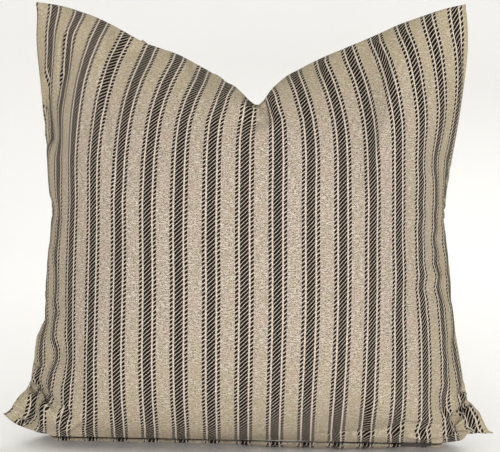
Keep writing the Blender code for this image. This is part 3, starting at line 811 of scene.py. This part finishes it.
# a piped edge thread round the insert's seam, closed by hand along the bottom
ring = np.concatenate([CM[:, 0], CM[-1, 1:], CM[::-1, -1][1:], CM[0, ::-1][1:]])
line, s = resample(ring, 0.0009)
lead = unit(line - line.mean(0))
closing = tube("insert_closing_thread_whip", [line + lead * (0.0004 + 0.0009 * np.sin(2 * math.pi * s / 0.0036))[:, None] + np.array([0, 1.0, 0]) * (0.0009 * np.cos(2 * math.pi * s / 0.0036))[:, None]], 0.00018, 5)

FN = 56
GF_, GB_, GM_ = inner(0.044, 0.034, 0.077, 0.015, FN)
rng = np.random.default_rng(7)
lump = rng.normal(size=(2, FN + 1, FN + 1))
for _ in range(4):
    lump[:, 1:-1, 1:-1] = 0.25 * (lump[:, 2:, 1:-1] + lump[:, :-2, 1:-1] + lump[:, 1:-1, 2:] + lump[:, 1:-1, :-2])
lump /= np.abs(lump).max()
GF_ = GM_ + (GF_ - GM_) * (1 - 0.03 * np.abs(lump[0]))[..., None]
GB_ = GM_ + (GB_ - GM_) * (1 - 0.03 * np.abs(lump[1]))[..., None]
verts = list(GF_.reshape(-1, 3))
index_back = {}
faces = grid_faces(FN, True)
back_id = np.zeros((FN + 1, FN + 1), int)
for i in range(FN + 1):
    for j in range(FN + 1):
        if i in (0, FN) or j in (0, FN):
            back_id[i, j] = i * (FN + 1) + j
        else:
            back_id[i, j] = len(verts)
            verts.append(GB_[i, j])
for i in range(FN):
    for j in range(FN):
        faces.append((back_id[i, j], back_id[i, j + 1], back_id[i + 1, j + 1], back_id[i + 1, j]))
filling = make_mesh("insert_filling_mass", verts, faces)

# ------------------------------------------------------------------ materials
class Net:
    """Small helper for writing a node material as sums."""

    def __init__(self, name):
        self.mat = bpy.data.materials.new(name)
        self.mat.use_nodes = True
        self.t = self.mat.node_tree
        self.t.nodes.clear()
        self.out = self.t.nodes.new("ShaderNodeOutputMaterial")
        self.bsdf = self.t.nodes.new("ShaderNodeBsdfPrincipled")
        self.t.links.new(self.bsdf.outputs[0], self.out.inputs[0])

    def put(self, socket, value):
        if isinstance(value, bpy.types.NodeSocket):
            self.t.links.new(value, socket)
        else:
            socket.default_value = value

    def m(self, op, *args, clamp=False):
        node = self.t.nodes.new("ShaderNodeMath")
        node.operation = op
        node.use_clamp = clamp
        for k, a in enumerate(args):
            self.put(node.inputs[k], a)
        return node.outputs[0]

    def add(self, a, b): return self.m("ADD", a, b)
    def sub(self, a, b): return self.m("SUBTRACT", a, b)
    def mul(self, a, b): return self.m("MULTIPLY", a, b)
    def fract(self, a): return self.m("FRACT", a)
    def abs(self, a): return self.m("ABSOLUTE", a)
    def mx(self, a, b): return self.m("MAXIMUM", a, b)
    def mn(self, a, b): return self.m("MINIMUM", a, b)

    def step(self, a, low, high):
        """0 below low, 1 above high"""
        node = self.t.nodes.new("ShaderNodeMapRange")
        node.interpolation_type = "SMOOTHSTEP"
        self.put(node.inputs["Value"], a)
        node.inputs["From Min"].default_value = low
        node.inputs["From Max"].default_value = high
        node.inputs["To Min"].default_value = 0.0
        node.inputs["To Max"].default_value = 1.0
        return node.outputs["Result"]

    def band(self, a, low, high, soft):
        return self.mul(self.step(a, low - soft, low + soft), self.sub(1.0, self.step(a, high - soft, high + soft)))

    def pos(self, x, y, z=0.0):
        node = self.t.nodes.new("ShaderNodeCombineXYZ")
        for k, v in enumerate((x, y, z)):
            self.put(node.inputs[k], v)
        return node.outputs[0]

    def noise(self, vector, scale, detail=2.0, rough=0.5):
        node = self.t.nodes.new("ShaderNodeTexNoise")
        node.noise_dimensions = "3D"
        self.put(node.inputs["Vector"], vector)
        node.inputs["Scale"].default_value = scale
        node.inputs["Detail"].default_value = detail
        node.inputs["Roughness"].default_value = rough
        return node.outputs["Fac"]

    def white(self, vector):
        node = self.t.nodes.new("ShaderNodeTexWhiteNoise")
        node.noise_dimensions = "3D"
        self.put(node.inputs["Vector"], vector)
        return node.outputs["Value"]

    def mix(self, f, a, b):
        node = self.t.nodes.new("ShaderNodeMix")
        node.data_type = "RGBA"
        self.put(node.inputs[0], f)
        self.put(node.inputs[6], a)
        self.put(node.inputs[7], b)
        return node.outputs[2]

    def uv(self, name="OFBake"):
        node = self.t.nodes.new("ShaderNodeUVMap")
        node.uv_map = name
        sep = self.t.nodes.new("ShaderNodeSeparateXYZ")
        self.t.links.new(node.outputs[0], sep.inputs[0])
        return sep.outputs[0], sep.outputs[1]

    def obj(self):
        node = self.t.nodes.new("ShaderNodeTexCoord")
        return node.outputs["Object"]

    def split(self, v):
        sep = self.t.nodes.new("ShaderNodeSeparateXYZ")
        self.t.links.new(v, sep.inputs[0])
        return sep.outputs

    def bump(self, height, strength, distance):
        node = self.t.nodes.new("ShaderNodeBump")
        node.inputs["Strength"].default_value = strength
        node.inputs["Distance"].default_value = distance
        self.put(node.inputs["Height"], height)
        self.t.links.new(node.outputs[0], self.bsdf.inputs["Normal"])


def lin(r, g, b):
    f = lambda c: (c / 255 / 12.92) if c / 255 <= 0.04045 else ((c / 255 + 0.055) / 1.055) ** 2.4
    return (f(r), f(g), f(b), 1.0)


REPEAT = 29.5
DASH = 4.27


def ticking():
    k = Net("ticking")
    u, v = k.uv()
    U = k.sub(k.mul(u, CUT * 1000), MARGIN * 1000)
    V = k.sub(k.mul(v, CUT * 1000), MARGIN * 1000)
    plain = k.pos(U, V)
    # yarns are never dead straight
    U = k.add(U, k.mul(k.sub(k.noise(plain, 0.22, 2), 0.5), 0.9))
    V = k.add(V, k.mul(k.sub(k.noise(k.pos(U, V, 7.0), 0.16, 2), 0.5), 1.1))
    t = k.mul(k.sub(k.fract(k.add(k.mul(U, 1 / REPEAT), 0.5 - 0.79)), 0.5), REPEAT)
    far = k.abs(t)
    wide = k.sub(1.0, k.step(far, 3.75, 4.10))
    thin = k.band(far, 5.45, 8.40, 0.18)
    group = k.sub(1.0, k.step(far, 8.3, 8.9))
    # the weave is drawn a little longer where the cover hugs the bottom edge
    low = k.m("MAXIMUM", k.sub(95.0, V), 0.0)
    V0 = V
    V = k.add(V, k.mul(k.mul(low, low), 0.30 / (2 * 95.0)))
    high = k.m("MAXIMUM", k.sub(V0, 320.0), 0.0)
    V = k.sub(V, k.mul(k.mul(high, high), 0.22 / (2 * 188.0)))
    # the black warp floats: slanted bars in the wide stripe, short dashes in the narrow ones
    ph = k.fract(k.mul(k.sub(V, k.mul(t, 1.08)), 1 / DASH))
    bar = k.mul(k.step(ph, 0.02, 0.08), k.sub(1.0, k.step(ph, 0.83, 0.89)))
    ph2 = k.fract(k.add(k.mul(k.sub(V, k.mul(t, 0.85)), 1 / DASH), 0.21))
    dash = k.mul(k.step(ph2, 0.02, 0.12), k.sub(1.0, k.step(ph2, 0.76, 0.84)))
    V = V0
    fibre = k.noise(k.pos(k.mul(U, 2.4), k.mul(V, 0.7), 3.0), 1.0, 3)
    dark = k.add(k.mul(wide, bar), k.mul(thin, dash))
    dark = k.m("MULTIPLY", dark, k.add(0.95, k.mul(k.step(fibre, 0.30, 0.62), 0.05)), clamp=True)
    # the ground: flecked weft over a cream warp, with a fine twill
    fleck = k.noise(k.pos(k.mul(U, 0.62), k.mul(V, 0.95), 11.0), 1.0, 2, 0.6)
    slub = k.noise(k.pos(k.mul(U, 0.22), k.mul(V, 0.9), 19.0), 1.0, 2)
    warm = k.noise(plain, 0.055, 3)
    green = k.noise(k.pos(U, V, 31.0), 0.09, 2)
    twill = k.abs(k.sub(k.fract(k.mul(k.add(V, k.mul(U, 0.95)), 1 / 2.14)), 0.5))
    yarn = k.abs(k.sub(k.fract(k.mul(U, 1 / 0.96)), 0.5))
    ground = k.mix(k.step(fleck, 0.38, 0.62), lin(98, 86, 73), lin(188, 178, 163))
    ground = k.mix(k.mul(k.step(slub, 0.48, 0.66), 0.75), ground, lin(208, 201, 192))
    ground = k.mix(k.mul(k.step(warm, 0.42, 0.68), 0.35), ground, lin(172, 148, 140))
    ground = k.mix(k.mul(k.step(green, 0.45, 0.72), 0.35), ground, lin(148, 144, 116))
    ground = k.mix(k.mul(k.sub(0.5, twill), 0.75), ground, lin(92, 80, 70))
    # painted shade: the ground is drawn darker and more olive towards the panel's edges, where the cushion's surface
    # turns away from the light
    out = k.m("MAXIMUM", k.step(k.abs(k.sub(U, 254.0)), 120.0, 250.0), k.m("MAXIMUM", k.step(V, 330.0, 470.0), k.mul(k.sub(1.0, k.step(V, 40.0, 200.0)), 0.7)))
    ground = k.mix(k.mul(out, 0.30), ground, lin(158, 149, 106))
    cream = k.mix(k.step(fleck, 0.3, 0.7), lin(166, 154, 142), lin(208, 198, 186))
    base = k.mix(k.mul(group, 0.65), ground, cream)
    colour = k.mix(dark, base, k.mix(fibre, lin(1, 0, 0), lin(12, 8, 7)))
    k.put(k.bsdf.inputs["Base Color"], colour)
    k.put(k.bsdf.inputs["Roughness"], k.add(0.80, k.mul(fleck, 0.18)))
    k.bsdf.inputs["Specular IOR Level"].default_value = 0.03
    k.bsdf.inputs["Sheen Weight"].default_value = 0.0
    k.bsdf.inputs["Sheen Roughness"].default_value = 0.5
    height = k.add(k.mul(dark, 0.55), k.add(k.mul(twill, 0.5), k.add(k.mul(fleck, 0.7), k.mul(yarn, 0.25))))
    k.bump(height, 0.55, 0.0005)
    return k.mat


def thread():
    k = Net("sewing_thread")
    o = k.obj()
    x, y, z = k.split(o)
    n = k.noise(o, 900.0, 2)
    twist = k.abs(k.sub(k.fract(k.mul(k.add(k.add(x, y), z), 1700.0)), 0.5))
    k.put(k.bsdf.inputs["Base Color"], k.mix(n, lin(176, 158, 128), lin(214, 200, 174)))
    k.put(k.bsdf.inputs["Roughness"], k.add(0.6, k.mul(n, 0.25)))
    k.bsdf.inputs["Sheen Weight"].default_value = 0.2
    k.bump(twist, 0.5, 0.0001)
    return k.mat


def tape():
    k = Net("zip_tape")
    o = k.obj()
    x, y, z = k.split(o)
    rib = k.abs(k.sub(k.fract(k.mul(x, 1250.0)), 0.5))
    warp = k.abs(k.sub(k.fract(k.mul(y, 1400.0)), 0.5))
    n = k.noise(o, 400.0, 3)
    k.put(k.bsdf.inputs["Base Color"], k.mix(k.mul(k.add(rib, n), 0.7), lin(30, 26, 23), lin(64, 57, 51)))
    k.put(k.bsdf.inputs["Roughness"], k.add(0.72, k.mul(n, 0.2)))
    k.bump(k.add(rib, warp), 0.6, 0.0002)
    return k.mat


def coil():
    k = Net("zip_coil")
    o = k.obj()
    n = k.noise(o, 300.0, 3)
    k.put(k.bsdf.inputs["Base Color"], k.mix(n, lin(26, 23, 21), lin(52, 47, 43)))
    k.put(k.bsdf.inputs["Roughness"], k.add(0.32, k.mul(n, 0.2)))
    k.bump(n, 0.15, 0.0001)
    return k.mat


def metal():
    k = Net("zip_metal")
    o = k.obj()
    n = k.noise(o, 260.0, 4)
    worn = k.step(k.noise(o, 1200.0, 2), 0.62, 0.72)
    k.put(k.bsdf.inputs["Base Color"], k.mix(worn, k.mix(n, lin(22, 19, 17), lin(44, 39, 35)), lin(96, 90, 84)))
    k.put(k.bsdf.inputs["Roughness"], k.add(0.30, k.mul(n, 0.25)))
    k.bsdf.inputs["Metallic"].default_value = 0.55
    k.bump(k.noise(o, 2200.0, 2), 0.12, 0.00008)
    return k.mat


def cotton():
    k = Net("casing_cotton")
    u, v = k.uv()
    a = k.abs(k.sub(k.fract(k.mul(u, 420.0)), 0.5))
    b = k.abs(k.sub(k.fract(k.mul(v, 420.0)), 0.5))
    n = k.noise(k.pos(u, v), 60.0, 3)
    k.put(k.bsdf.inputs["Base Color"], k.mix(n, lin(224, 221, 213), lin(244, 242, 237)))
    k.put(k.bsdf.inputs["Roughness"], k.add(0.78, k.mul(n, 0.15)))
    k.bsdf.inputs["Sheen Weight"].default_value = 0.15
    k.bump(k.add(a, b), 0.4, 0.0002)
    return k.mat


def fibre_fill():
    k = Net("filling_fibre")
    o = k.obj()
    n = k.noise(o, 55.0, 6, 0.65)
    f = k.noise(o, 420.0, 4, 0.7)
    k.put(k.bsdf.inputs["Base Color"], k.mix(n, lin(226, 222, 212), lin(250, 248, 243)))
    k.put(k.bsdf.inputs["Roughness"], k.add(0.85, k.mul(f, 0.14)))
    k.bsdf.inputs["Sheen Weight"].default_value = 0.3
    k.bump(k.add(n, f), 0.8, 0.002)
    return k.mat


MAT = {"ticking": ticking(), "sewing_thread": thread(), "zip_tape": tape(), "zip_coil": coil(), "zip_metal": metal(),
       "casing_cotton": cotton(), "filling_fibre": fibre_fill()}


def wear(ob, slot):
    ob.data.materials.clear()
    ob.data.materials.append(MAT[slot])
    ob.data.polygons.foreach_set("material_index", np.zeros(len(ob.data.polygons), dtype=np.int32))


REPLACED = {
    cover_front: (("cover_front_panel",), "ticking"), cover_back: (("cover_back_panel",), "ticking"),
    needle: (("cover_needle_thread",), "sewing_thread"), bobbin: (("cover_bobbin_thread",), "sewing_thread"),
    overlock: (("cover_overlock_thread",), "sewing_thread"),
    casing_front: (("insert_casing_front",), "casing_cotton"), casing_back: (("insert_casing_back",), "casing_cotton"),
    closing: (("insert_closing_thread",), "sewing_thread"), filling: (("insert_filling",), "filling_fibre"),
}
for ob, (nodes, slot) in REPLACED.items():
    wear(ob, slot)
    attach(ob, "pillow")
    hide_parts(*nodes)

# the zip keeps its own pieces, in better materials
KEPT = {"zip_tape_front": "zip_tape", "zip_tape_back": "zip_tape", "zip_coil_front": "zip_coil", "zip_coil_back": "zip_coil",
        "zip_stitch_front": "sewing_thread", "zip_stitch_back": "sewing_thread", "zip_slider": "zip_metal", "zip_pull": "zip_metal",
        "zip_bottom_stop": "zip_metal", "zip_top_stop_front": "zip_metal", "zip_top_stop_back": "zip_metal"}
for node, slot in KEPT.items():
    ob = bpy.data.objects[node]
    for s in ob.material_slots:
        s.material = MAT[slot]

# ------------------------------------------------------------------ floor, light
def floor_material():
    k = Net("floor")
    n = k.noise(k.obj(), 6.0, 3)
    k.put(k.bsdf.inputs["Base Color"], k.mix(n, (0.93, 0.935, 0.95, 1), (0.945, 0.95, 0.965, 1)))
    k.put(k.bsdf.inputs["Roughness"], 0.9)
    return k.mat


# a sheet of pale paper, curving up behind
profile = [(-6.0, 0.0), (-3.0, 0.0), (0.0, 0.0), (1.6, 0.0)]
profile += [(1.6 + 1.4 * math.sin(a), 1.4 - 1.4 * math.cos(a)) for a in np.linspace(0.06, math.pi / 2, 24)]
profile += [(3.0, 3.0), (3.0, 5.0)]
fv = [(x, y, z - 0.0006) for y, z in profile for x in np.linspace(-6, 6, 13)]
ff = [(r * 13 + c, r * 13 + c + 1, r * 13 + c + 14, r * 13 + c + 13) for r in range(len(profile) - 1) for c in range(12)]
floor = make_mesh("floor", fv, ff)
floor.data.materials.append(floor_material())

world = bpy.data.worlds.new("studio")
scene.world = world
world.use_nodes = True
bg = world.node_tree.nodes["Background"]
bg.inputs[0].default_value = (1.0, 0.98, 0.91, 1)
bg.inputs[1].default_value = 0.80


def area(name, loc, aim, size, power, colour):
    data = bpy.data.lights.new(name, "AREA")
    data.shape = "RECTANGLE"
    data.size, data.size_y = size
    data.energy = power
    data.color = colour
    ob = bpy.data.objects.new(name, data)
    ob.location = loc
    ob.rotation_euler = (Vector(aim) - Vector(loc)).to_track_quat("-Z", "Y").to_euler()
    scene.collection.objects.link(ob)


area("key", (0.05, -2.35, 0.26), (0, 0, 0.20), (1.1, 0.44), 37.0, (1.0, 0.965, 0.96))
area("fill", (1.3, -1.8, 0.30), (0, 0, 0.12), (1.2, 0.7), 10.0, (1.0, 0.98, 0.95))
area("back", (0.3, 1.8, 1.6), (0, 0, 0.25), (1.6, 1.0), 12.0, (1.0, 0.99, 0.96))

scene.view_settings.view_transform = "Standard"
scene.view_settings.look = "None"
